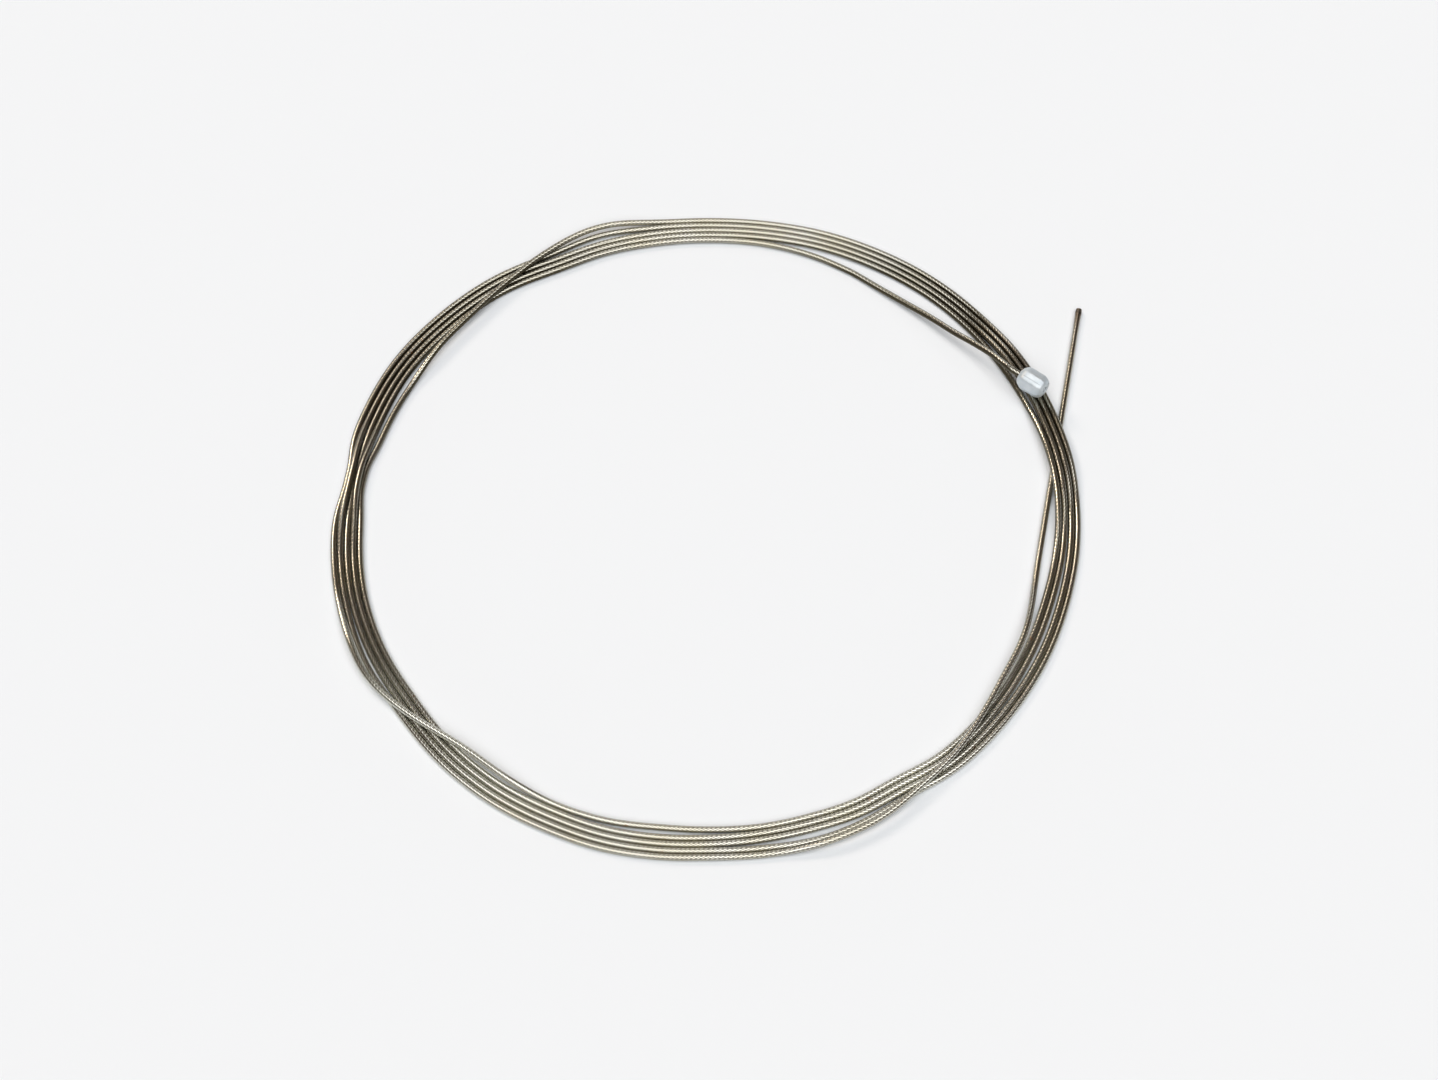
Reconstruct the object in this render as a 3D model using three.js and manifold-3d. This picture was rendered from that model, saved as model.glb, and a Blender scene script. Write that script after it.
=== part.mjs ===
// Shift cable: a steel wire rope with a cast head on one end and a fused tip on the other.
// It lies flat, wound into a coil. Millimetres, +Z up, standing on Z = 0.

import * as THREE from "three";
import { mergeVertices } from "three/addons/utils/BufferGeometryUtils.js";
import Module from "manifold-3d";

// Driving dimensions of the rope
const ropeDiameter = 1.2;
const cableLength = 2100;
const tailLength = 60.7;

// Driving dimensions of the coil. It winds from the head to the tail, seen from above
// anticlockwise, and its turns lie side by side with one strand crossing over the others.
const headAngle = 26.5;
const tailAngle = 5 * 360 - 11.7;
const coilBandWidth = 10.2;
const coilLayers = 2;
const coilEdgeBevel = 0.45;
const innerStrandSlack = 0.15;

// Driving dimensions of the head, an eight-sided casting
const headAcrossFlats = 4.4;
const headLength = 5.6;
const headSeatDiameter = 3.0;
const headShoulderLength = 0.8;
const headEndDiameter = 3.3;
const headEndBevelLength = 0.65;
const ropeMouthDiameter = 2.0;
const ropeMouthDepth = 0.25;
const dimpleMouthDiameter = 1.3;
const dimpleFloorDiameter = 0.7;
const dimpleDepth = 0.5;

// The head lies on the outer half of the coil, turned a little across it
const headBesideMiddle = 1.35;
const headCentreAngle = 23.3;
const headTurn = -38;

// Clearance that touching pieces keep
const seatGap = 0.3;

// Fineness of the round faces
const coilSides = 96;
const headSides = 8;
const ropeSides = 8;
const ropeStepDiameters = 2;

// The rope's route from the head down to the coil's inner edge, as angle round the coil in
// degrees, distance outside the coil's innermost strand and height above the floor
const leadRoute = [
  [31.0, 2.65, 4.2],
  [35.0, 1.7, 3.45],
  [39.6, 0.65, 2.7],
  [45.2, 0.15, 1.95],
  [50.6, -0.05, 1.3],
  [56.5, 0.0, 0.82],
  [63.0, 0.3, 0.62],
];

// Sizes that follow from the driving dimensions
const ropeRadius = ropeDiameter / 2;
const coilMiddleRadius = (cableLength - tailLength) / THREE.MathUtils.degToRad(tailAngle - headAngle);
const coilHeight = coilLayers * ropeDiameter;
const coilInnerRadius = coilMiddleRadius - coilBandWidth / 2;
const coilOuterRadius = coilMiddleRadius + coilBandWidth / 2;
const innerStrandRadius = coilInnerRadius + innerStrandSlack + ropeRadius;
const headCornerRadius = headAcrossFlats / 2 / Math.cos(Math.PI / headSides);
const headCentreHeight = coilHeight + seatGap + headAcrossFlats / 2;

const solids = await Module();
solids.setup();

const ropeSteel = () =>
  new THREE.MeshStandardMaterial({ color: 0x8f867a, roughness: 0.35, metalness: 1.0 });
const castMetal = () =>
  new THREE.MeshStandardMaterial({ color: 0xb4bcbe, roughness: 0.42, metalness: 0.9 });

function toSolid(geometry) {
  const bare = geometry.clone();
  bare.deleteAttribute("normal");
  bare.deleteAttribute("uv");
  const merged = mergeVertices(bare, 1e-5);
  const vertProperties = new Float32Array(merged.attributes.position.array);
  const triVerts = new Uint32Array(merged.index.array);
  return new solids.Manifold(new solids.Mesh({ numProp: 3, vertProperties, triVerts }));
}

function toGeometry(solid) {
  const mesh = solid.getMesh();
  const geometry = new THREE.BufferGeometry();
  geometry.setAttribute("position", new THREE.BufferAttribute(new Float32Array(mesh.vertProperties), 3));
  geometry.setIndex(new THREE.BufferAttribute(new Uint32Array(mesh.triVerts), 1));
  return geometry;
}

// A point given by its angle round the coil, its distance from the coil's axis and its height
function roundCoil(degrees, radius, height) {
  const angle = THREE.MathUtils.degToRad(degrees);
  return new THREE.Vector3(radius * Math.cos(angle), radius * Math.sin(angle), height);
}

// The coil's outer shape, a flat ring with bevelled edges, thicker all over by grow
function coilRing(grow) {
  const low = -grow;
  const high = coilHeight + grow;
  const inner = coilInnerRadius - grow;
  const outer = coilOuterRadius + grow;
  const bevel = coilEdgeBevel;
  const profile = [
    [inner + bevel, low],
    [outer - bevel, low],
    [outer, low + bevel],
    [outer, high - bevel],
    [outer - bevel, high],
    [inner + bevel, high],
    [inner, high - bevel],
    [inner, low + bevel],
    [inner + bevel, low],
  ];
  const ring = new THREE.LatheGeometry(profile.map(([r, z]) => new THREE.Vector2(r, z)), coilSides);
  return ring.rotateX(Math.PI / 2);
}

// The head stands on its end as it is turned, with the rope's end at the bottom
function headCasting() {
  const profile = [
    [0, ropeMouthDepth],
    [ropeRadius, ropeMouthDepth],
    [ropeMouthDiameter / 2, 0],
    [headSeatDiameter / 2, 0],
    [headCornerRadius, headShoulderLength],
    [headCornerRadius, headLength - headEndBevelLength],
    [headEndDiameter / 2, headLength],
    [dimpleMouthDiameter / 2, headLength],
    [dimpleFloorDiameter / 2, headLength - dimpleDepth],
    [0, headLength - dimpleDepth],
  ];
  const halfSide = Math.PI / headSides;
  const points = profile.map(([r, y]) => new THREE.Vector2(r, y));
  return new THREE.LatheGeometry(points, headSides, halfSide).translate(0, -headLength / 2, 0);
}

// A plain tube of the rope's diameter along a list of points
function ropeAlong(points) {
  const path = new THREE.CatmullRomCurve3(points, false, "centripetal");
  const section = new THREE.Shape();
  for (let side = 0; side < ropeSides; side += 1) {
    const angle = (2 * Math.PI * side) / ropeSides;
    const x = ropeRadius * Math.cos(angle);
    const y = ropeRadius * Math.sin(angle);
    if (side === 0) section.moveTo(x, y);
    else section.lineTo(x, y);
  }
  const steps = Math.ceil(path.getLength() / (ropeStepDiameters * ropeDiameter));
  return new THREE.ExtrudeGeometry(section, { extrudePath: path, steps, bevelEnabled: false });
}

// The stretch of rope that lies clear of the coil
function clearOfCoil(geometry) {
  return toGeometry(toSolid(geometry).subtract(toSolid(coilRing(seatGap))));
}

function named(name, geometry, material) {
  const mesh = new THREE.Mesh(geometry, material);
  mesh.name = name;
  return mesh;
}

const cable = new THREE.Group();

// Coil
cable.add(named("rope_coil", coilRing(0), ropeSteel()));

// Head, laid on its side with a flat downwards
const headCentre = roundCoil(headCentreAngle, coilMiddleRadius + headBesideMiddle, headCentreHeight);
const headDirection = new THREE.Vector3(1, 0, 0).applyAxisAngle(
  new THREE.Vector3(0, 0, 1),
  THREE.MathUtils.degToRad(headTurn),
);
const head = named("cable_head", headCasting(), castMetal());
head.position.copy(headCentre);
head.rotation.set(0, 0, THREE.MathUtils.degToRad(headTurn) - Math.PI / 2);
cable.add(head);

// Rope from the head to the coil
const ropeFace = headCentre.clone().addScaledVector(headDirection, -headLength / 2);
const leadStart = ropeFace.clone().addScaledVector(headDirection, ropeMouthDepth - seatGap);
const leadStraight = ropeFace.clone().addScaledVector(headDirection, -2 * ropeDiameter);
const leadRest = leadRoute.map(([degrees, outwards, height]) =>
  roundCoil(degrees, innerStrandRadius + outwards, height),
);
const leadPoints = [leadStart, leadStraight, ...leadRest];
cable.add(named("rope_lead", clearOfCoil(ropeAlong(leadPoints)), ropeSteel()));

// Rope that leaves the coil's inner edge in a straight line, on the floor
const tailFoot = roundCoil(tailAngle, innerStrandRadius, ropeRadius);
const tailHeading = THREE.MathUtils.degToRad(tailAngle + 90);
const tailDirection = new THREE.Vector3(Math.cos(tailHeading), Math.sin(tailHeading), 0);
const tailPoints = [0, 0.25, 0.5, 0.75, 1].map((share) =>
  tailFoot.clone().addScaledVector(tailDirection, share * tailLength),
);
cable.add(named("rope_tail", clearOfCoil(ropeAlong(tailPoints)), ropeSteel()));

// The origin is the middle of the whole cable's box, on the floor
cable.updateMatrixWorld(true);
const reach = new THREE.Box3().setFromObject(cable, true);
cable.position.set(-(reach.min.x + reach.max.x) / 2, -(reach.min.y + reach.max.y) / 2, 0);

export default cable;
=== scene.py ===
import math

import bmesh
import bpy
import numpy as np
from bpy.props import FloatProperty, FloatVectorProperty, IntProperty, PointerProperty
from bpy.types import Operator, Panel, PropertyGroup
from mathutils import Matrix, Vector


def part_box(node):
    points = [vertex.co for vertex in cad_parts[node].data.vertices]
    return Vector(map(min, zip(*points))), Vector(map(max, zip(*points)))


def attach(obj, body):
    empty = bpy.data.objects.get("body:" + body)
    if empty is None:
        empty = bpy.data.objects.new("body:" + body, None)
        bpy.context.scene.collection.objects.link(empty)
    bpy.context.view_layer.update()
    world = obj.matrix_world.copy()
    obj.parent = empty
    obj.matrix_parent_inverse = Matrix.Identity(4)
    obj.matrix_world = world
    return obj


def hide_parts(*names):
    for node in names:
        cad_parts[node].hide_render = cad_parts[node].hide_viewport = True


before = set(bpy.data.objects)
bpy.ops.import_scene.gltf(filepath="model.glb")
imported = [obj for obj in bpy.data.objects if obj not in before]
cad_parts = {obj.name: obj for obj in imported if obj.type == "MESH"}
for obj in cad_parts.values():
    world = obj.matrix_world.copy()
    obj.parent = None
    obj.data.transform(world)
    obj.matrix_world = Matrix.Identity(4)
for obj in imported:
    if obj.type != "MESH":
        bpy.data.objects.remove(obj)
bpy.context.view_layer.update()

bl_info = {
    "name": "Shift Cable",
    "version": (1, 0, 0),
    "blender": (4, 5, 0),
    "location": "View3D > Sidebar > Shift Cable",
    "description": "Lays a coiled wire rope, its fused tip and its cast head on a pale studio floor",
    "category": "Object",
}

# The coil, as it lies on the floor. Lengths are in metres and angles in degrees, counted
# round the coil's axis from the side where the head lies.
COIL_TURNS = 5
HEAD_ANGLE = 26.5
TAIL_ANGLE = COIL_TURNS * 360 - 11.7
BAND_WIDTH = 0.0102
INNER_SLACK = 0.00015
OUTER_LANE = 4
MIDDLE_LANE = 2

# The rope's route from the head down to the coil's inner edge: angle, distance outside the
# innermost strand and height above the floor
LEAD_ROUTE = (
    (31.0, 0.00265, 0.0042),
    (35.0, 0.0017, 0.00345),
    (39.6, 0.00065, 0.0027),
    (45.2, 0.00015, 0.00195),
    (50.6, -0.00005, 0.0013),
    (56.5, 0.0002, 0.00082),
)
LEAD_JOINS_COIL = 63.0
LEAD_RUNS_ON = 4.0
STRAIGHT_DIAMETERS = 2
STEPS_BETWEEN_KNOTS = 40
STEPS_PER_DEGREE = 4

# How the five lanes of the coil lie: angle, shift of the middle lane outwards, distance from
# lane to lane, and what the innermost lane and the two outermost ones stand further off
BAND = (
    (7, 0.0007, 0.00121, 0.0009, 0),
    (18, 0.0008, 0.00121, 0.0004, 0),
    (30, 0.0011, 0.00122, 0.0006, 0),
    (41, 0.0014, 0.00123, 0.0012, 0),
    (51, 0.0015, 0.00123, 0.0019, 0),
    (61, 0.0013, 0.00122, 0.0022, 0),
    (71, 0.001, 0.00121, 0.0011, 0),
    (80, 0.0005, 0.00121, 0.0002, 0),
    (89, 0.0002, 0.00121, 0, 0),
    (99, 0.0001, 0.00121, 0, 0.0002),
    (108, 0.0001, 0.00122, 0, 0.0008),
    (118, -0.0004, 0.00122, 0, 0.0003),
    (128, -0.0002, 0.00122, 0, 0),
    (139, 0, 0.00122, 0.0002, 0),
    (150, 0.0002, 0.00122, 0.0008, 0),
    (161, -0.0002, 0.00121, 0.0004, 0),
    (173, -0.00055, 0.00121, 0, 0),
    (185, -0.0002, 0.00121, 0, 0),
    (196, 0.0002, 0.00121, 0, 0),
    (208, 0.0003, 0.00121, 0, 0.0003),
    (218, 0.00005, 0.00121, 0, 0),
    (228, -0.0001, 0.00121, 0, 0),
    (238, 0.0003, 0.00121, 0, 0),
    (247, 0.0004, 0.00121, 0, 0),
    (255, 0.0006, 0.00121, 0.0003, 0),
    (263, 0.0004, 0.00121, 0.0006, 0),
    (271, 0.0001, 0.00121, 0.0003, 0),
    (279, 0, 0.00121, 0, 0.0004),
    (287, 0, 0.00121, 0, 0.0009),
    (295, 0.0001, 0.00121, 0, 0.0004),
    (304, -0.0006, 0.00121, 0, 0),
    (313, -0.0005, 0.00121, 0, 0),
    (323, -0.0006, 0.00121, 0.0001, 0.0001),
    (333, -0.0007, 0.00121, 0.0003, 0.0003),
    (344, -0.0006, 0.00121, 0.0006, 0.0003),
    (355, 0.0001, 0.00121, 0.001, 0.0001),
)

# Where the outermost strand crosses over the others to the inner edge, and where the others
# move one lane outwards under it: from and to, for each
CROSSINGS = (
    ((106, 143), (110, 133)),
    ((205, 236), (211, 233)),
    ((291, 336), (296, 312)),
)
CROSSING_RAMP = 13.0
CROSSING_LEAD_IN = 1.5

# Where the strands pack into two layers: from, middle and to
STACKED = (158, 173, 190)
STACKED_LIFT = 0.00095
STACKED_PITCH = 1.01

# Strands with more room than this pitch, in rope diameters, wander in it by a slow uneven wave:
# the share of the room, its waves for each radian, and how far and how fast their pace varies
LOOSE_PITCH = 1.025
WANDER_SHARE = 0.9
WANDER_WAVES = 2.3
WANDER_VARIES = 1.3
WANDER_PACE = 0.61

# Strands hop over the tail, which leaves the coil under them, and the outer ones stay up
# under the head
HOP_RAMP = (13.0, 16.0)
HOP_REACH = 0.00125
HOP_UNTIL = 27.0
FIRST_LANE_THAT_HOPS = 0.6
FIRST_LANE_UNDER_HEAD = 1.6
JUST_OUTSIDE = 1.0003

# Where the last turn stops hopping, and where it starts to straighten into the tail and is
# straight, in degrees from the tail's root
HOPS_STOP = -20.0
STRAIGHTENS = (-26.0, 5.0)

# The coil's middle on the floor
COIL_LOW, COIL_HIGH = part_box("rope_coil")
COIL_AXIS = Vector(((COIL_LOW[0] + COIL_HIGH[0]) / 2, (COIL_LOW[1] + COIL_HIGH[1]) / 2, COIL_LOW[2]))

# The head's outline as along, radius and round-off: its rope end and the start of its barrel,
# counted from the mouth, and the end of its barrel and its far end, counted back from that end
ROPE_END = (
    (0.00025, 0.0003, 0.0),
    (0.00025, 0.00062, 0.0001),
    (0.0, 0.00095, 0.00008),
    (0.0, 0.0013, 0.0003),
)
BARREL_START = (0.00095, 0.0007)
BARREL_END = (0.00115, 0.0002)
FAR_END = (
    (0.0004, 0.00188, 0.0002),
    (0.0, 0.00148, 0.00014),
    (0.0, 0.00062, 0.0001),
    (0.0007, 0.00042, 0.00015),
    (0.0007, 0.0001, 0.0),
)

# A rounded corner of an outline takes this many steps and at most this share of each side
ARC_STEPS = 5
ARC_SHARE = 0.48

# The head's sides: points round it, how sharp its edges are, and the radius from which and over
# which its outline turns from round to many-sided
HEAD_STEPS = 96
EDGE_SHARPNESS = 34
FLATS_FROM = 0.00118
FLATS_FADE = 0.0002

# The parting line shows from this share of the barrel's radius on, and painted shade darkens the mouth
# and the dimple inside this radius over this depth
SEAM_FROM = 0.95
HOLLOW_RADIUS = 0.0009
HOLLOW_FADE = 0.0003

# The fused tip's outline, as radius and round-off at its root and as along, radius and round-off
# at its end, and its lumps: share of the radius, lumps round it and radians for each metre
TIP_STEPS = 32
TIP_ROOT = ((0.00045, 0.0), (0.000585, 0.00008))
TIP_END = (
    (-0.0004, 0.000615, 0.0003),
    (0.0001, 0.0005, 0.0002),
    (0.00022, 0.0002, 0.0001),
    (0.00023, 0.00004, 0.0),
)
TIP_LUMPS = ((0.03, 3, 9000.0), (0.02, 5, 0.0))

# The noises of the finishes, in cells for each metre
STEEL_PATCHES = 90.0
RUST_SPECKS = 700.0
WIRE_GRAIN = 2600.0
SCORCH_GRAIN = 1800.0
CAST_CLOUDS = 700.0
CAST_GRAIN = 9000.0

# An edge of the rope lies along a valley where its crown value is below this
VALLEY_BELOW = 0.25

# The ramps of the rope's and the tip's finish: from, to and, where that isn't 0 to 1, what they
# give there
# The valleys' painted shade, with its brown and olive grime tint, turns to steel over the first ramp
SHADE_AND_GRIME_TO_STEEL = (0.12, 0.85)
BROWN_TO_OLIVE = (0.35, 0.65)
BLACK_TO_BROWN = (0.35, 0.65)
PALE_TO_WARM = (0.3, 0.7)
SPECK_RAMP = (0.66, 0.74, 0.0, 0.8)
ROUGH_RAMP = (0.1, 0.7, 0.38, 0.15)
ROUGH_GRAIN = 0.08
METAL_RAMP = (0.1, 0.6, 0.6, 1.0)
# The painted shade low on the strands: the top of its ramp, its share at the back of its stretch and how
# far past the tail it grows in
LOW_SHADE_TOP = (0.55, 0.92)
LOW_SHADE_AT_BACK = 0.1
LOW_SHADE_GROWS = 1.4

# The ramps of the head's finish
CLOUD_RAMP = (0.35, 0.65)
CAST_ROUGH = (0.3, 0.7, 0.4, 0.5)
SEAM_SHARE = 0.45


def smooth(share):
    """0 to 1 with a soft start and end."""
    share = min(max(share, 0.0), 1.0)
    return share * share * share * (share * (6 * share - 15) + 10)


def window(angle, start, end):
    """0 before start, 1 after end."""
    return smooth((angle - start) / (end - start))


class Term:
    """A shader socket that takes part in sums, each of which adds its Math node."""

    def __init__(self, finish, socket):
        self.finish = finish
        self.socket = socket

    def _math(self, operation, first, second):
        node = self.finish.node("ShaderNodeMath", {"operation": operation}, {0: first, 1: second})
        return Term(self.finish, node.outputs[0])

    def __add__(self, other):
        return self._math("ADD", self, other)

    def __sub__(self, other):
        return self._math("SUBTRACT", self, other)

    def __mul__(self, other):
        return self._math("MULTIPLY", self, other)

    def __radd__(self, other):
        return self._math("ADD", other, self)

    def __rsub__(self, other):
        return self._math("SUBTRACT", other, self)

    def __rmul__(self, other):
        return self._math("MULTIPLY", other, self)


class Finish:
    """A material and the one way that its nodes are made."""

    def __init__(self, name):
        self.material = bpy.data.materials.new(name)
        self.grow(self.material, "ShaderNodeOutputMaterial")

    def grow(self, owner, output):
        """Starts the owner's nodes afresh with their output."""
        owner.use_nodes = True
        self.tree = owner.node_tree
        self.tree.nodes.clear()
        self.output = self.node(output)

    def node(self, kind, settings=None, sockets=None):
        """Makes a node: its settings come first, then the values or links of its sockets."""
        made = self.tree.nodes.new(kind)
        for key, value in (settings or {}).items():
            setattr(made, key, value)
        for key, value in (sockets or {}).items():
            self.feed(made.inputs[key], value)
        return made

    def feed(self, socket, value):
        if isinstance(value, Term):
            self.tree.links.new(value.socket, socket)
        elif isinstance(value, bpy.types.NodeSocket):
            self.tree.links.new(value, socket)
        else:
            socket.default_value = value

    def term(self, node, output=0):
        return Term(self, node.outputs[output])

    def attribute(self, name):
        return self.term(self.node("ShaderNodeAttribute", {"attribute_name": name}), "Fac")

    def place(self):
        return self.node("ShaderNodeTexCoord").outputs["Object"]

    def part_of(self, vector, axis):
        """One of a vector's three numbers."""
        return self.term(self.node("ShaderNodeSeparateXYZ", {}, {0: vector}), axis)

    def noise(self, scale, detail, roughness=0.5):
        sockets = {"Vector": self.place(), "Scale": scale, "Detail": detail, "Roughness": roughness}
        return self.term(self.node("ShaderNodeTexNoise", {}, sockets), "Fac")

    def spread(self, value, low, high, to_low=0.0, to_high=1.0):
        """Maps low..high onto to_low..to_high, held at both ends."""
        node = self.node(
            "ShaderNodeMapRange",
            {"clamp": True},
            {"Value": value, "From Min": low, "From Max": high, "To Min": to_low, "To Max": to_high},
        )
        return self.term(node, "Result")

    def blend(self, factor, first, second):
        """Mixes two colours: the first at 0 and the second at 1."""
        node = self.node("ShaderNodeMix", {"data_type": "RGBA"}, {0: factor, 6: first, 7: second})
        return node.outputs[2]

    def surface(self, sockets):
        """Ends the material in one shader with these values and links."""
        shader = self.node("ShaderNodeBsdfPrincipled", {}, sockets)
        self.tree.links.new(shader.outputs["BSDF"], self.output.inputs["Surface"])


class Room(Finish):
    """The world round the part, with its nodes made in the same way."""

    def __init__(self, name):
        self.world = bpy.data.worlds.new(name)
        self.grow(self.world, "ShaderNodeOutputWorld")

    def paint(self, colour):
        walls = self.node("ShaderNodeBackground", {}, {"Color": colour, "Strength": 1.0})
        self.tree.links.new(walls.outputs[0], self.output.inputs["Surface"])


class Tree:
    """A Geometry Nodes tree and the one way that its nodes are made."""

    def __init__(self, name, inputs):
        self.group = bpy.data.node_groups.new(name, "GeometryNodeTree")
        ports = self.group.interface
        ports.new_socket("Path", in_out="INPUT", socket_type="NodeSocketGeometry")
        for label, kind in inputs:
            ports.new_socket(label, in_out="INPUT", socket_type=kind)
        ports.new_socket("Rope", in_out="OUTPUT", socket_type="NodeSocketGeometry")
        self.start = self.group.nodes.new("NodeGroupInput")
        self.end = self.group.nodes.new("NodeGroupOutput")

    def node(self, kind, settings=None, sockets=None, output=0):
        """Makes a node, its settings first, and gives one of its outputs."""
        made = self.group.nodes.new(kind)
        for key, value in (settings or {}).items():
            setattr(made, key, value)
        for key, value in (sockets or {}).items():
            if isinstance(value, bpy.types.NodeSocket):
                self.group.links.new(value, made.inputs[key])
            else:
                made.inputs[key].default_value = value
        return made.outputs[output]

    def math(self, operation, first, second):
        return self.node("ShaderNodeMath", {"operation": operation}, {0: first, 1: second})

    def place(self):
        return self.node("GeometryNodeInputPosition")

    def height(self):
        return self.node("ShaderNodeSeparateXYZ", {}, {0: self.place()}, "Z")

    def store(self, geometry, name, value):
        """Keeps a number for each point of the geometry."""
        return self.node(
            "GeometryNodeStoreNamedAttribute",
            {"data_type": "FLOAT", "domain": "POINT"},
            {"Geometry": geometry, "Name": name, "Value": value},
        )

    def stored(self, name):
        return self.node("GeometryNodeInputNamedAttribute", {"data_type": "FLOAT"}, {"Name": name})

    def finish(self, geometry):
        self.group.links.new(geometry, self.end.inputs[0])


def rope_settings():
    return bpy.context.scene.shift_cable_rope


def head_settings():
    return bpy.context.scene.shift_cable_head


def stage_settings():
    return bpy.context.scene.shift_cable_stage


def middle_radius():
    """The coil's middle line has the radius that the cable's length and its turns give."""
    rope = rope_settings()
    return (rope.length - rope.tail_length) / math.radians(TAIL_ANGLE - HEAD_ANGLE)


def inner_strand_radius():
    return middle_radius() - BAND_WIDTH / 2 + INNER_SLACK + rope_settings().diameter / 2


def band_at(angle):
    """How the lanes lie at an angle, smoothly between the listed ones."""
    count = len(BAND)
    angle = angle % 360
    if angle < BAND[0][0]:
        angle += 360
    here = max(k for k in range(count) if BAND[k][0] <= angle)
    around = []
    for k in (here - 1, here, here + 1, here + 2):
        turn, row = divmod(k, count)
        around.append((BAND[row][0] + 360 * turn, *BAND[row][1:]))
    a0, a1, a2, a3 = (row[0] for row in around)
    t = (angle - a1) / (a2 - a1)
    values = []
    for column in range(1, len(BAND[0])):
        v0, v1, v2, v3 = (row[column] for row in around)
        slope1 = (v2 - v0) / (a2 - a0) * (a2 - a1)
        slope2 = (v3 - v1) / (a3 - a1) * (a2 - a1)
        values.append(
            (2 * t**3 - 3 * t**2 + 1) * v1
            + (t**3 - 2 * t**2 + t) * slope1
            + (-2 * t**3 + 3 * t**2) * v2
            + (t**3 - t**2) * slope2
        )
    return values


def lane_and_rise(winding):
    """The strand's lane, 0 at the inner edge, and its rise onto the others, 0 to 1."""
    lane, rise, lane_before = 0.0, 0.0, 0
    for turn in range(COIL_TURNS):
        for over, shift in CROSSINGS:
            angle = winding - 360 * turn
            if lane_before == OUTER_LANE:
                lane = OUTER_LANE * (1 - window(angle, *over))
                up = window(angle, over[0] - CROSSING_RAMP, over[0] + CROSSING_LEAD_IN)
                down = window(angle, over[1] - CROSSING_LEAD_IN, over[1] + CROSSING_RAMP)
                rise = max(rise, up * (1 - down))
                lane_after = 0
            else:
                lane = lane_before + window(angle, *shift)
                lane_after = lane_before + 1
            if angle < max(over[1], shift[1]):
                return lane, rise
            lane_before = lane_after
    return float(lane_before), rise


def hop_over_tail(angle, radius, lane):
    """The rise of a strand that passes over the tail, 0 to 1."""
    inner = inner_strand_radius()
    foot = TAIL_ANGLE - 360 * COIL_TURNS
    angle = angle - 360 if angle > 180 else angle
    if lane < FIRST_LANE_THAT_HOPS:
        return 0.0
    nearest = max(radius - HOP_REACH, inner * JUST_OUTSIDE)
    start = foot + math.degrees(math.acos(inner / nearest))
    end = foot + math.degrees(math.acos(inner / (radius + HOP_REACH)))
    if lane > FIRST_LANE_UNDER_HEAD:
        end = max(end, HOP_UNTIL)
    return window(angle, start - HOP_RAMP[0], start) * (1 - window(angle, end, end + HOP_RAMP[1]))


def strand_place(winding):
    """The rope's distance from the coil's axis and its height, for an angle wound from the head."""
    thick = rope_settings().diameter
    angle = winding % 360
    shift, pitch, inner_gap, outer_gap = band_at(angle)
    lane, rise = lane_and_rise(winding)
    play = max(pitch - LOOSE_PITCH * thick, 0.0) / 2
    packed = window(angle, STACKED[0], STACKED[1]) * (1 - window(angle, STACKED[1], STACKED[2]))
    lift = packed * STACKED_LIFT
    close_pitch = math.sqrt((STACKED_PITCH * thick) ** 2 - lift**2)
    pitch = min(pitch, pitch * (1 - packed) + close_pitch * packed)
    lift *= 0.5 - 0.5 * math.cos(math.pi * lane)
    turns = math.radians(winding)
    wave = math.sin(WANDER_WAVES * turns + WANDER_VARIES * math.sin(WANDER_PACE * turns))
    wander = WANDER_SHARE * play * wave
    radius = middle_radius() + shift + (lane - MIDDLE_LANE) * pitch + wander
    radius += outer_gap * smooth(lane - MIDDLE_LANE) - inner_gap * smooth(1 - lane)
    if winding < TAIL_ANGLE + HOPS_STOP:
        rise = max(rise, hop_over_tail(angle, radius, lane))
    height = max(thick / 2 + thick * rise, thick / 2 + lift)
    leaving = window(winding, TAIL_ANGLE + STRAIGHTENS[0], TAIL_ANGLE + STRAIGHTENS[1])
    if leaving > 0:
        straight = inner_strand_radius() / math.cos(math.radians(winding - TAIL_ANGLE))
        radius = radius * (1 - leaving) + straight * leaving
    if winding > TAIL_ANGLE:
        height = height * (1 - leaving) + thick / 2 * leaving
    return radius, height


def round_coil(degrees, radius, height):
    angle = math.radians(degrees)
    return COIL_AXIS + Vector((radius * math.cos(angle), radius * math.sin(angle), height))


def head_frame():
    """The head's middle, and the direction from its rope end to its far end."""
    head = head_settings()
    low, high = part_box("cable_head")
    middle = round_coil(head.centre_angle, middle_radius() + head.beside_middle, (low[2] + high[2]) / 2)
    turn = math.radians(head.turn)
    return middle, Vector((math.cos(turn), math.sin(turn), 0.0))


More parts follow.
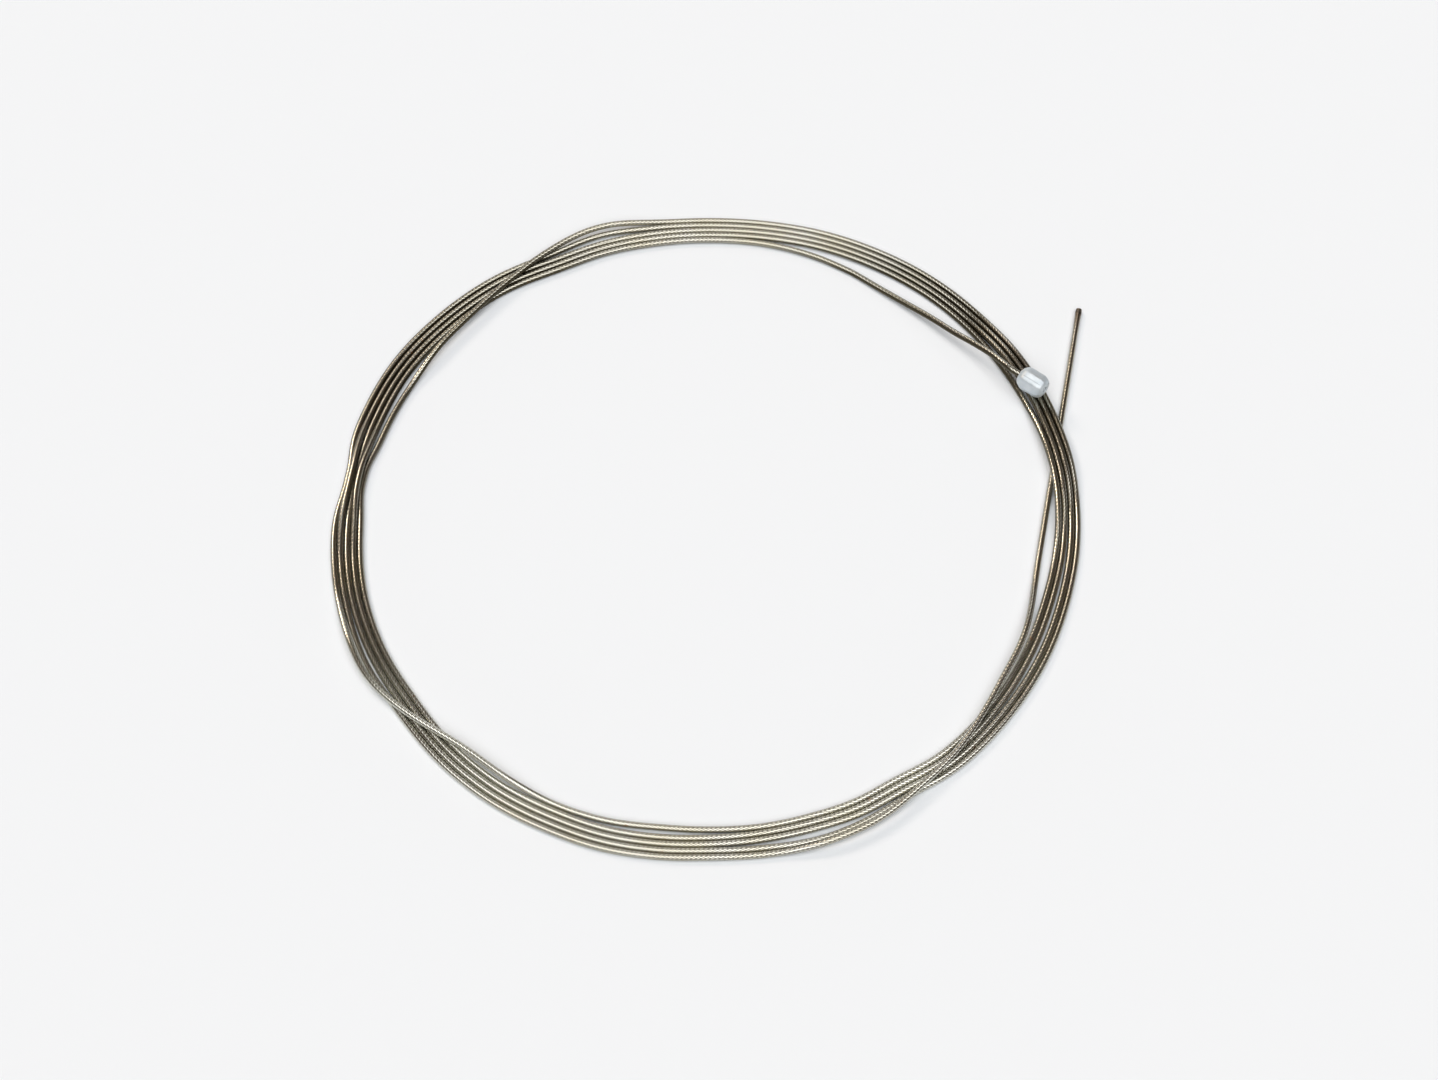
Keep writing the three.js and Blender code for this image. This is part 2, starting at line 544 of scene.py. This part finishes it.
def smooth_through(points):
    """Points on a centripetal curve through the given ones, from the first to the last."""
    knots = [np.array(p, float) for p in points]
    knots = [2 * knots[0] - knots[1], *knots, 2 * knots[-1] - knots[-2]]
    found = []
    for k in range(1, len(knots) - 2):
        p0, p1, p2, p3 = knots[k - 1 : k + 3]
        t0 = 0.0
        t1 = math.sqrt(np.linalg.norm(p1 - p0))
        t2 = t1 + math.sqrt(np.linalg.norm(p2 - p1))
        t3 = t2 + math.sqrt(np.linalg.norm(p3 - p2))
        for step in range(STEPS_BETWEEN_KNOTS):
            t = t1 + (t2 - t1) * step / STEPS_BETWEEN_KNOTS
            a1 = (t1 - t) / (t1 - t0) * p0 + (t - t0) / (t1 - t0) * p1
            a2 = (t2 - t) / (t2 - t1) * p1 + (t - t1) / (t2 - t1) * p2
            a3 = (t3 - t) / (t3 - t2) * p2 + (t - t2) / (t3 - t2) * p3
            b1 = (t2 - t) / (t2 - t0) * a1 + (t - t0) / (t2 - t0) * a2
            b2 = (t3 - t) / (t3 - t1) * a2 + (t - t1) / (t3 - t1) * a3
            found.append((t2 - t) / (t2 - t1) * b1 + (t - t1) / (t2 - t1) * b2)
    found.append(knots[-2])
    return found


def rope_route():
    """The rope's whole centreline, from inside the head to the end of its tip, in even steps."""
    rope = rope_settings()
    head = head_settings()
    middle, direction = head_frame()
    face = middle - direction * (head.length / 2)
    inner = inner_strand_radius()
    straight = STRAIGHT_DIAMETERS * rope.diameter
    lead = [face + direction * head.rope_inside, face, face - direction * straight]
    lead += [round_coil(angle, inner + outwards, height) for angle, outwards, height in LEAD_ROUTE]
    for winding in (LEAD_JOINS_COIL, LEAD_JOINS_COIL + LEAD_RUNS_ON):
        lead.append(round_coil(winding, *strand_place(winding)))
    # The last stretch only gives the lead its direction where it joins the coil
    fine = smooth_through(lead)[:-STEPS_BETWEEN_KNOTS]
    tip_angle = TAIL_ANGLE + math.degrees(math.atan(rope.tail_length / inner))
    count = STEPS_PER_DEGREE * int(tip_angle - LEAD_JOINS_COIL)
    for k in range(1, count + 1):
        winding = LEAD_JOINS_COIL + (tip_angle - LEAD_JOINS_COIL) * k / count
        fine.append(np.array(round_coil(winding, *strand_place(winding))))
    fine = np.array(fine)
    lengths = np.concatenate(([0.0], np.cumsum(np.linalg.norm(np.diff(fine, axis=0), axis=1))))
    steps = int(lengths[-1] / rope.ring_spacing)
    even = np.linspace(0.0, lengths[-1], steps + 1)
    return np.stack([np.interp(even, lengths, fine[:, axis]) for axis in range(3)], axis=1)


def new_object(name, data):
    made = bpy.data.objects.new(name, data)
    bpy.context.scene.collection.objects.link(made)
    return made


def rope_tree():
    """Sweeps the section of a stranded rope along a path, turned by the lay of its wires."""
    tree = Tree(
        "lay_wire_rope",
        (
            ("Rope Diameter", "NodeSocketFloat"),
            ("Valley Depth", "NodeSocketFloat"),
            ("Outer Wires", "NodeSocketInt"),
            ("Lay Length", "NodeSocketFloat"),
            ("Material", "NodeSocketMaterial"),
        ),
    )
    given = tree.start.outputs
    # The section has two points for each wire: its crown and the valley beside it
    radius = tree.math("MULTIPLY", given["Rope Diameter"], 0.5)
    section = tree.node(
        "GeometryNodeCurvePrimitiveCircle",
        {"mode": "RADIUS"},
        {"Resolution": tree.math("MULTIPLY", given["Outer Wires"], 2), "Radius": radius},
    )
    in_valley = tree.math("MODULO", tree.node("GeometryNodeInputIndex"), 2.0)
    reach = tree.math("SUBTRACT", radius, tree.math("MULTIPLY", in_valley, given["Valley Depth"]))
    moved = tree.node(
        "ShaderNodeVectorMath",
        {"operation": "SCALE"},
        {0: tree.place(), "Scale": tree.math("DIVIDE", reach, radius)},
    )
    section = tree.node("GeometryNodeSetPosition", {}, {"Geometry": section, "Position": moved})
    section = tree.store(section, "crown", tree.math("SUBTRACT", 1.0, in_valley))
    # Along the path the section turns by the lay of the wires
    along = tree.node("GeometryNodeSplineParameter", output="Length")
    laid = tree.math("MULTIPLY", tree.math("DIVIDE", along, given["Lay Length"]), 2 * math.pi)
    path = tree.node("GeometryNodeSetCurveNormal", {"mode": "Z_UP"}, {"Curve": given["Path"]})
    path = tree.node("GeometryNodeSetCurveTilt", {}, {"Curve": path, "Tilt": laid})
    to_tip = tree.math("SUBTRACT", tree.node("GeometryNodeSplineLength", output="Length"), along)
    path = tree.store(path, "to_tip", to_tip)
    path = tree.store(path, "middle_height", tree.height())
    rope = tree.node(
        "GeometryNodeCurveToMesh", {}, {"Curve": path, "Profile Curve": section, "Fill Caps": True}
    )
    # How far up the rope's own section a point lies, from -1 at its foot to 1 at its top
    above = tree.math("SUBTRACT", tree.height(), tree.stored("middle_height"))
    rope = tree.store(rope, "upper", tree.math("DIVIDE", above, radius))
    # An edge that runs along a valley stays sharp, and all the others are smooth
    valley = tree.math("LESS_THAN", tree.stored("crown"), VALLEY_BELOW)
    rope = tree.node("GeometryNodeSetShadeSmooth", {"domain": "FACE"}, {"Geometry": rope})
    rope = tree.node(
        "GeometryNodeSetShadeSmooth",
        {"domain": "EDGE"},
        {"Geometry": rope, "Selection": valley, "Shade Smooth": False},
    )
    rope = tree.node("GeometryNodeRealizeInstances", {}, {"Geometry": rope})
    rope = tree.node("GeometryNodeSetMaterial", {}, {"Geometry": rope, "Material": given["Material"]})
    tree.finish(rope)
    return tree.group


def swept_rope(points, material):
    """The rope's mesh along its route."""
    rope = rope_settings()
    curve = bpy.data.curves.new("rope_path", "CURVE")
    curve.dimensions = "3D"
    line = curve.splines.new("POLY")
    line.points.add(len(points) - 1)
    line.points.foreach_set("co", np.c_[points, np.ones(len(points))].ravel())
    carrier = new_object("rope_path", curve)
    laid = carrier.modifiers.new("lay", "NODES")
    laid.node_group = rope_tree()
    values = {
        "Rope Diameter": rope.diameter,
        "Valley Depth": rope.valley_depth,
        "Outer Wires": rope.outer_wires,
        "Lay Length": rope.lay_length,
        "Material": material,
    }
    for item in laid.node_group.interface.items_tree:
        if item.in_out == "INPUT" and item.name in values:
            laid[item.identifier] = values[item.name]
    bpy.context.view_layer.update()
    ready = carrier.evaluated_get(bpy.context.evaluated_depsgraph_get())
    mesh = bpy.data.meshes.new_from_object(ready)
    carrier.modifiers.clear()
    bpy.data.objects.remove(carrier)
    mesh.name = "shift_rope"
    return new_object("shift_rope", mesh)


def rope_finish():
    """Bright drawn wires that go brown and olive dark between them, with painted shade in the valleys,
    painted shade low on the strands and a painted sheen on the coil's two front quarters.
    """
    rope = rope_settings()
    finish = Finish("rope_steel")
    crown = finish.attribute("crown")
    to_tip = finish.attribute("to_tip")
    depth = finish.part_of(finish.place(), "Y")
    specks = finish.noise(RUST_SPECKS, 4.0, 0.65)
    patches = finish.noise(STEEL_PATCHES, 2.0)
    grain = finish.noise(WIRE_GRAIN, 2.0)
    # Painted shade, with a brown and olive grime tint, darkens the valleys between the wires
    shade_and_grime = finish.blend(finish.spread(patches, *BROWN_TO_OLIVE), rope.valley_colour, rope.olive_colour)
    steel = finish.blend(finish.spread(patches, *PALE_TO_WARM), rope.crown_colour, rope.warm_colour)
    # A painted sheen lightens the wires on the coil's two front quarters
    start, full, fades, end = rope.front_sheen
    quarters = finish.spread(depth, start, full) * finish.spread(depth, fades, end, 1.0, 0.0)
    steel = finish.blend(quarters, steel, rope.front_sheen_colour)
    metal = finish.blend(finish.spread(crown, *SHADE_AND_GRIME_TO_STEEL), shade_and_grime, steel)
    # Painted shade darkens the strands low down between them, most of all behind the coil's middle
    start, full, fades, end = rope.low_shade_stretch
    stretch = finish.spread(depth, start, full) * finish.spread(depth, fades, end, 1.0, LOW_SHADE_AT_BACK)
    low = finish.spread(finish.attribute("upper"), *LOW_SHADE_TOP, rope.low_shade_share, 0.0)
    wound = finish.spread(to_tip, rope.tail_length, rope.tail_length * LOW_SHADE_GROWS)
    metal = finish.blend(low * stretch * wound, metal, rope.low_shade_colour)
    metal = finish.blend(finish.spread(specks, *SPECK_RAMP), metal, rope.rust_colour)
    heat = finish.spread(to_tip, rope.tip_length, rope.tip_length + rope.heat_length, 1.0, 0.0)
    finish.surface(
        {
            "Base Color": finish.blend(heat, metal, rope.heat_colour),
            "Metallic": finish.spread(crown, *METAL_RAMP),
            "Roughness": finish.spread(crown, *ROUGH_RAMP) + (grain - 0.5) * ROUGH_GRAIN,
        }
    )
    return finish.material


def tip_finish():
    """Steel browned by the heat, with black scorched patches."""
    rope = rope_settings()
    finish = Finish("fused_steel")
    scorch = finish.noise(SCORCH_GRAIN, 3.0)
    colour = finish.blend(finish.spread(scorch, *BLACK_TO_BROWN), rope.scorch_colour, rope.heat_colour)
    bump = finish.node("ShaderNodeBump", {}, {"Strength": 0.5, "Distance": 0.00005, "Height": scorch})
    finish.surface(
        {"Base Color": colour, "Metallic": 0.9, "Roughness": 0.45, "Normal": bump.outputs[0]}
    )
    return finish.material


def lofted(name, rings):
    """A closed mesh through rings of points, with a pole at each end."""
    sides = len(rings[0])
    build = bmesh.new()
    first, last = (build.verts.new(sum(ring, Vector()) / sides) for ring in (rings[0], rings[-1]))
    loops = [[build.verts.new(point) for point in ring] for ring in rings]
    for near, far in zip(loops, loops[1:]):
        for k in range(sides):
            build.faces.new((near[k], near[(k + 1) % sides], far[(k + 1) % sides], far[k]))
    for k in range(sides):
        build.faces.new((first, loops[0][(k + 1) % sides], loops[0][k]))
        build.faces.new((last, loops[-1][k], loops[-1][(k + 1) % sides]))
    bmesh.ops.recalc_face_normals(build, faces=build.faces)
    mesh = bpy.data.meshes.new(name)
    build.to_mesh(mesh)
    build.free()
    for face in mesh.polygons:
        face.use_smooth = True
    return new_object(name, mesh)


def ring_round(centre, direction, steps, reach):
    """A ring of points square to a level direction, as far out as reach says for each angle."""
    up = Vector((0.0, 0.0, 1.0))
    aside = direction.cross(up).normalized()
    ring = []
    for k in range(steps):
        angle = 2 * math.pi * k / steps
        out = aside * math.cos(angle) + up * math.sin(angle)
        ring.append(centre + out * reach(angle))
    return ring


def filleted(corners):
    """A profile of along, radius and round-off at each corner, with the corners turned into arcs."""
    points = [Vector(c[:2]) for c in corners]
    profile = [points[0]]
    for k in range(1, len(corners) - 1):
        here, size = points[k], corners[k][2]
        before, after = (points[k - 1] - here), (points[k + 1] - here)
        if size == 0:
            profile.append(here)
            continue
        start = here + before.normalized() * min(size, before.length * ARC_SHARE)
        end = here + after.normalized() * min(size, after.length * ARC_SHARE)
        for step in range(ARC_STEPS + 1):
            t = step / ARC_STEPS
            profile.append(start * (1 - t) ** 2 + here * (2 * t * (1 - t)) + end * t**2)
    profile.append(points[-1])
    return profile


def flats_reach(angle, flats):
    """How far a rounded many-sided outline reaches, as a share of half its width across flats."""
    total = 0.0
    for k in range(flats):
        facing = math.cos(angle - 2 * math.pi * k / flats)
        if facing > 0:
            total += facing**EDGE_SHARPNESS
    return total ** (-1 / EDGE_SHARPNESS)


def share_of(value, start, length):
    """How much of a stretch a value has passed, from 0 to 1."""
    return min(max((value - start) / length, 0.0), 1.0)


def store_values(piece, name, values):
    """Keeps a number for each vertex, for the finish to read."""
    piece.data.attributes.new(name, "FLOAT", "POINT").data.foreach_set("value", values)


def head_finish():
    """Satin zinc casting, a little blue, with a fine cast grain."""
    head = head_settings()
    finish = Finish("cast_zinc")
    cloud = finish.noise(CAST_CLOUDS, 3.0)
    grain = finish.noise(CAST_GRAIN, 2.0)
    colour = finish.blend(finish.spread(cloud, *CLOUD_RAMP), head.colour, head.shade_colour)
    rough = finish.spread(cloud, *CAST_ROUGH)
    # The parting line is a dark line of the casting, and painted shade darkens the mouth and the dimple
    # inside
    colour = finish.blend(finish.attribute("seam") * SEAM_SHARE, colour, head.seam_and_hollow_shade_colour)
    colour = finish.blend(finish.attribute("hollow"), colour, head.seam_and_hollow_shade_colour)
    bump = finish.node("ShaderNodeBump", {}, {"Strength": 0.35, "Distance": 0.00003, "Height": grain})
    finish.surface(
        {"Base Color": colour, "Metallic": 0.6, "Roughness": rough, "Normal": bump.outputs[0]}
    )
    return finish.material


class RopeSettings(PropertyGroup):
    diameter: FloatProperty(
        name="Diameter", description="Rope over its outer wires", default=0.0012, unit="LENGTH", precision=5
    )
    length: FloatProperty(
        name="Length", description="Rope from the head to its tip", default=2.1, unit="LENGTH"
    )
    tail_length: FloatProperty(
        name="Tail", description="Straight end that leaves the coil", default=0.0607, unit="LENGTH"
    )
    outer_wires: IntProperty(name="Outer Wires", description="Wires in the outer layer", default=12)
    valley_depth: FloatProperty(
        name="Valley Depth", description="Depth between two drawn wires", default=0.000025, unit="LENGTH",
        precision=6,
    )
    lay_length: FloatProperty(
        name="Lay", description="Length in which a wire turns once", default=0.0096, unit="LENGTH"
    )
    ring_spacing: FloatProperty(
        name="Ring Spacing", description="Step of the mesh along the rope", default=0.00052, unit="LENGTH"
    )
    tip_length: FloatProperty(
        name="Fused Tip", description="Length of the melted end", default=0.0014, unit="LENGTH"
    )
    crown_colour: FloatVectorProperty(
        name="Crown", description="Steel on a wire's crown", subtype="COLOR", size=4,
        default=(0.82, 0.82, 0.74, 1.0),
    )
    warm_colour: FloatVectorProperty(
        name="Warm Crown", description="Steel on the browner stretches", subtype="COLOR", size=4,
        default=(0.78, 0.735, 0.6, 1.0),
    )
    # The valley colours are painted shade between the wires, with a brown and olive grime tint
    valley_colour: FloatVectorProperty(
        name="Valley", description="Brown grime between the wires", subtype="COLOR", size=4,
        default=(0.05, 0.03, 0.015, 1.0),
    )
    olive_colour: FloatVectorProperty(
        name="Olive Valley", description="Olive grime between the wires", subtype="COLOR", size=4,
        default=(0.05, 0.045, 0.015, 1.0),
    )
    # Painted sheen: the lighter steel of the coil's front quarters, and where it starts, is full, fades and
    # ends
    front_sheen_colour: FloatVectorProperty(
        name="Polished", description="Steel on the cleanest stretches", subtype="COLOR", size=4,
        default=(1.0, 1.0, 0.9, 1.0),
    )
    front_sheen: FloatVectorProperty(
        name="Polished Stretch",
        description="Where clean steel starts, is full, fades and ends, from front to back",
        size=4, default=(-0.064, -0.055, -0.035, -0.018),
    )
    # Painted shade: its share, its dark olive colour and the stretch where it lies low between the strands
    low_shade_share: FloatProperty(name="Soil", description="Share of dirt low between the strands", default=0.92)
    low_shade_colour: FloatVectorProperty(
        name="Soil Colour", description="Dark olive dirt between the strands", subtype="COLOR", size=4,
        default=(0.035, 0.026, 0.006, 1.0),
    )
    low_shade_stretch: FloatVectorProperty(
        name="Soiled Stretch",
        description="Where the dirt starts, is full, fades and ends, from front to back",
        size=4, default=(-0.035, 0.03, 0.056, 0.064),
    )
    heat_length: FloatProperty(
        name="Heat Length", description="Rope that the heat has browned next to the tip", default=0.004,
        unit="LENGTH",
    )
    rust_colour: FloatVectorProperty(
        name="Rust", description="Small rusty specks", subtype="COLOR", size=4,
        default=(0.3, 0.14, 0.05, 1.0),
    )
    heat_colour: FloatVectorProperty(
        name="Heat", description="Steel browned by the heat at the tip", subtype="COLOR", size=4,
        default=(0.2, 0.16, 0.12, 1.0),
    )
    scorch_colour: FloatVectorProperty(
        name="Scorch", description="Blackened steel of the fused tip", subtype="COLOR", size=4,
        default=(0.05, 0.045, 0.04, 1.0),
    )


class HeadSettings(PropertyGroup):
    length: FloatProperty(
        name="Length", description="Head from end to end", default=0.0056, unit="LENGTH"
    )
    across_flats: FloatProperty(
        name="Across Flats", description="Width between two opposite flats", default=0.0044, unit="LENGTH"
    )
    flats: IntProperty(name="Flats", description="Sides of the barrel", default=8)
    seam_side: IntProperty(
        name="Seam", description="Step round the barrel where its parting line is", default=17
    )
    turn: FloatProperty(name="Turn", description="Heading of the head in degrees", default=-38.0)
    centre_angle: FloatProperty(
        name="Place", description="Angle round the coil of the head's middle, in degrees", default=23.3
    )
    beside_middle: FloatProperty(
        name="Beside Middle", description="Head outside the coil's middle line", default=0.00135,
        unit="LENGTH", precision=5,
    )
    rope_inside: FloatProperty(
        name="Rope Inside", description="Rope that shows no more inside the casting", default=0.0006,
        unit="LENGTH", precision=5,
    )
    colour: FloatVectorProperty(
        name="Colour", description="Cast zinc", subtype="COLOR", size=4, default=(0.64, 0.69, 0.72, 1.0)
    )
    # The dark of the parting line, and the painted shade inside the dimple and the rope's mouth
    seam_and_hollow_shade_colour: FloatVectorProperty(
        name="Hollow", description="Dull ground of the dimple and the rope's mouth",
        subtype="COLOR", size=4, default=(0.12, 0.14, 0.16, 1.0),
    )
    shade_colour: FloatVectorProperty(
        name="Shade", description="Duller patches of the casting", subtype="COLOR", size=4,
        default=(0.55, 0.61, 0.65, 1.0),
    )


class StageSettings(PropertyGroup):
    elevation: FloatProperty(
        name="Elevation", description="Camera above the floor, in degrees", default=59.0
    )
    distance: FloatProperty(
        name="Distance", description="Camera from its aim", default=0.4474, unit="LENGTH"
    )
    aim: FloatVectorProperty(
        name="Aim", description="Point that the camera looks at", subtype="XYZ",
        default=(0.0016, -0.0058, 0.001),
    )
    focal_length: FloatProperty(name="Focal Length", description="Lens in millimetres", default=60.84)
    floor_size: FloatProperty(
        name="Floor Size", description="Side of the floor", default=30.0, unit="LENGTH"
    )
    floor_colour: FloatVectorProperty(
        name="Floor", description="Pale studio floor", subtype="COLOR", size=4,
        default=(0.838, 0.871, 0.902, 1.0),
    )
    horizon: FloatVectorProperty(
        name="Horizon",
        description="Where the room's pale foot starts to dim and where it is dim, in degrees",
        size=2, default=(7.0, 12.0),
    )
    horizon_colour: FloatVectorProperty(
        name="Horizon Colour", description="The room's foot, as pale as the lit floor",
        subtype="COLOR", size=4, default=(0.91, 0.91, 0.91, 1.0),
    )
    world_strength: FloatProperty(name="World", description="Light from all round", default=0.03)
    world_colour: FloatVectorProperty(
        name="World Colour", description="Warm room round the part", subtype="COLOR", size=4,
        default=(1.0, 0.46, 0.17, 1.0),
    )
    key_level: FloatProperty(name="Key", description="Light of the key lamp on the floor", default=0.82)
    key_lean: FloatProperty(
        name="Key Lean", description="Key lamp's lean from overhead to the camera, in degrees", default=20.0
    )
    key_spread: FloatProperty(
        name="Key Spread", description="Width of the key lamp as the part sees it, in degrees", default=80.0
    )
    back_level: FloatProperty(
        name="Back", description="Light of the back lamp on the floor", default=0.045
    )
    back_lean: FloatProperty(
        name="Back Lean", description="Back lamp's lean from overhead, in degrees", default=58.0
    )
    back_spread: FloatProperty(
        name="Back Spread", description="Width of the back lamp as the part sees it, in degrees",
        default=32.0,
    )
    side_level: FloatProperty(
        name="Side", description="Light of the side lamp on the floor", default=0.13
    )
    side_colour: FloatVectorProperty(
        name="Side Colour", description="Warm light of the side and corner lamps",
        subtype="COLOR", size=3, default=(1.0, 0.86, 0.73),
    )
    corner_level: FloatProperty(
        name="Corner", description="Light of the lamp at the back left corner on the floor",
        default=0.042,
    )
    corner_rise: FloatProperty(
        name="Corner Rise", description="Corner lamp above the floor, in degrees", default=47.0
    )
    corner_back: FloatProperty(
        name="Corner Back", description="Corner lamp's turn from the left to the back, in degrees",
        default=64.0,
    )
    side_rise: FloatProperty(
        name="Side Rise", description="Side lamp above the floor, in degrees", default=38.0
    )
    side_back: FloatProperty(
        name="Side Back", description="Side lamp's turn from the left to the back, in degrees",
        default=42.0,
    )
    side_spread: FloatProperty(
        name="Side Spread",
        description="Width of the side and corner lamps as the part sees them, in degrees",
        default=14.0,
    )


class SHIFTCABLE_OT_stage(Operator):
    """Sets up the floor, the lamps and the camera"""

    bl_idname = "shift_cable.stage"
    bl_label = "Set the Stage"

    def execute(self, context):
        stage = stage_settings()
        scene = context.scene
        scene.view_settings.view_transform = "Standard"
        self.place_camera(scene, stage)
        self.lay_floor(stage)
        self.light(scene, stage)
        return {"FINISHED"}

    def place_camera(self, scene, stage):
        lens = bpy.data.cameras.new("camera")
        lens.sensor_fit = "HORIZONTAL"
        lens.sensor_width = 36.0
        lens.lens = stage.focal_length
        lens.clip_start = 0.01
        camera = new_object("camera", lens)
        rise = math.radians(stage.elevation)
        back = Vector((0.0, -math.cos(rise), math.sin(rise)))
        camera.matrix_world = Matrix.Translation(Vector(stage.aim) + back * stage.distance) @ (
            back.to_track_quat("Z", "Y").to_matrix().to_4x4()
        )
        scene.camera = camera

    def lay_floor(self, stage):
        build = bmesh.new()
        bmesh.ops.create_grid(build, x_segments=1, y_segments=1, size=stage.floor_size / 2)
        mesh = bpy.data.meshes.new("floor")
        build.to_mesh(mesh)
        build.free()
        floor = new_object("floor", mesh)
        finish = Finish("floor_paper")
        finish.surface({"Base Color": stage.floor_colour, "Roughness": 0.9, "Specular IOR Level": 0.0})
        mesh.materials.append(finish.material)

    def light(self, scene, stage):
        room = Room("studio")
        # The room is pale down at the floor's edge, so that low views keep a pale ground
        facing = room.node("ShaderNodeTexCoord").outputs["Generated"]
        rise = room.part_of(facing, "Z")
        low, high = (math.sin(math.radians(angle)) for angle in stage.horizon)
        dim = [stage.world_strength * value for value in stage.world_colour[:3]] + [1.0]
        room.paint(room.blend(room.spread(rise, low, high), stage.horizon_colour, dim))
        scene.world = room.world
        lean = math.radians(stage.key_lean)
        self.soft_lamp("key", (0.0, -math.sin(lean), math.cos(lean)), stage.key_level, stage.key_spread)
        lean = math.radians(stage.back_lean)
        self.soft_lamp("back", (0.0, math.sin(lean), math.cos(lean)), stage.back_level, stage.back_spread)
        self.beside("side", stage.side_rise, stage.side_back, stage.side_level)
        self.beside("corner", stage.corner_rise, stage.corner_back, stage.corner_level)

    def beside(self, name, rise, back, level):
        """A warm lamp this far above the floor, turned this far from the left to the back."""
        stage = stage_settings()
        rise = math.radians(rise)
        back = math.radians(back)
        towards = (-math.cos(back) * math.cos(rise), math.sin(back) * math.cos(rise), math.sin(rise))
        self.soft_lamp(name, towards, level, stage.side_spread).data.color = stage.side_colour

    def soft_lamp(self, name, towards, level, spread):
        """A round soft lamp, so bright that it lights the floor at this level."""
        towards = Vector(towards)
        lamp = bpy.data.lights.new(name, "SUN")
        lamp.angle = math.radians(spread)
        lamp.energy = level * math.pi / towards.z
        made = new_object(name, lamp)
        turn = towards.to_track_quat("Z", "Y").to_matrix().to_4x4()
        made.matrix_world = Matrix.Translation(towards) @ turn
        return made


class SHIFTCABLE_OT_rope(Operator):
    """Lays the wire rope from the head, round the coil and out to its tip"""

    bl_idname = "shift_cable.rope"
    bl_label = "Lay the Rope"

    def execute(self, context):
        points = rope_route()
        piece = swept_rope(points, rope_finish())
        if not piece.data.polygons:
            raise RuntimeError("the rope came out empty")
        tip = self.fused_tip(points)
        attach(piece, "root")
        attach(tip, "root")
        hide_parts("rope_coil", "rope_lead", "rope_tail")
        return {"FINISHED"}

    def fused_tip(self, points):
        """The last wires melted into a short dark stub."""
        end = Vector(points[-1])
        direction = (end - Vector(points[-2])).normalized()
        root = [(-rope_settings().tip_length, *corner) for corner in TIP_ROOT]
        rings = []
        for along, radius in filleted([*root, *TIP_END]):

            def reach(angle):
                lumps = (
                    share * math.sin(count * angle + twist * along) for share, count, twist in TIP_LUMPS
                )
                return radius * (1 + sum(lumps))

            rings.append(ring_round(end + direction * along, direction, TIP_STEPS, reach))
        tip = lofted("fused_tip", rings)
        tip.data.materials.append(tip_finish())
        return tip


class SHIFTCABLE_OT_head(Operator):
    """Casts the barrel-shaped head on the rope's end"""

    bl_idname = "shift_cable.head"
    bl_label = "Cast the Head"

    def execute(self, context):
        head = head_settings()
        middle, direction = head_frame()
        mouth = middle - direction * (head.length / 2)
        half = head.across_flats / 2
        profile = self.outline(head)
        rings = []
        for along, radius in profile:
            eight = share_of(radius, FLATS_FROM, FLATS_FADE)

            def reach(angle):
                # Half a flat of turn lays a flat, and not an edge, towards the camera
                return radius * (1 + (flats_reach(angle - math.pi / head.flats, head.flats) - 1) * eight)

            rings.append(ring_round(mouth + direction * along, direction, HEAD_STEPS, reach))
        piece = lofted("cast_head", rings)
        # The two poles come first, and then each ring
        seam = [0.0, 0.0]
        hollow = [self.hollow(*profile[0]), self.hollow(*profile[-1])]
        for along, radius in profile:
            on_barrel = radius > SEAM_FROM * half and 0 < along < head.length
            for k in range(HEAD_STEPS):
                seam.append(float(on_barrel and k % (HEAD_STEPS // 2) == head.seam_side))
                hollow.append(self.hollow(along, radius))
        store_values(piece, "seam", seam)
        store_values(piece, "hollow", hollow)
        piece.data.materials.append(head_finish())
        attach(piece, "root")
        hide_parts("cable_head")
        return {"FINISHED"}

    def outline(self, head):
        """The head's profile from its mouth to its dimple."""
        half = head.across_flats / 2
        barrel_end = head.length - BARREL_END[0]
        corners = [*ROPE_END, (BARREL_START[0], half, BARREL_START[1]), (barrel_end, half, BARREL_END[1])]
        corners += [(head.length - back, radius, round_off) for back, radius, round_off in FAR_END]
        return filleted(corners)

    def hollow(self, along, radius):
        """How deep in the mouth or the dimple a point lies, from 0 to 1."""
        if radius >= HOLLOW_RADIUS:
            return 0.0
        return share_of(min(along, head_settings().length - along), 0.0, HOLLOW_FADE)


class SHIFTCABLE_PT_panel(Panel):
    """Shift cable"""

    bl_idname = "SHIFTCABLE_PT_panel"
    bl_label = "Shift Cable"
    bl_space_type = "VIEW_3D"
    bl_region_type = "UI"
    bl_category = "Shift Cable"

    def draw(self, context):
        layout = self.layout
        for operator in OPERATORS:
            layout.operator(operator.bl_idname)
        for settings in (rope_settings(), head_settings(), stage_settings()):
            box = layout.box()
            for key in settings.__annotations__:
                box.prop(settings, key)


OPERATORS = (SHIFTCABLE_OT_stage, SHIFTCABLE_OT_rope, SHIFTCABLE_OT_head)
GROUPS = (RopeSettings, HeadSettings, StageSettings)


def register():
    for group in GROUPS + OPERATORS + (SHIFTCABLE_PT_panel,):
        bpy.utils.register_class(group)
    bpy.types.Scene.shift_cable_rope = PointerProperty(type=RopeSettings)
    bpy.types.Scene.shift_cable_head = PointerProperty(type=HeadSettings)
    bpy.types.Scene.shift_cable_stage = PointerProperty(type=StageSettings)


def unregister():
    del bpy.types.Scene.shift_cable_stage
    del bpy.types.Scene.shift_cable_head
    del bpy.types.Scene.shift_cable_rope
    for group in reversed(GROUPS + OPERATORS + (SHIFTCABLE_PT_panel,)):
        bpy.utils.unregister_class(group)


def main():
    register()
    bpy.ops.shift_cable.stage()
    bpy.ops.shift_cable.rope()
    bpy.ops.shift_cable.head()


if __name__ == "__main__":
    main()
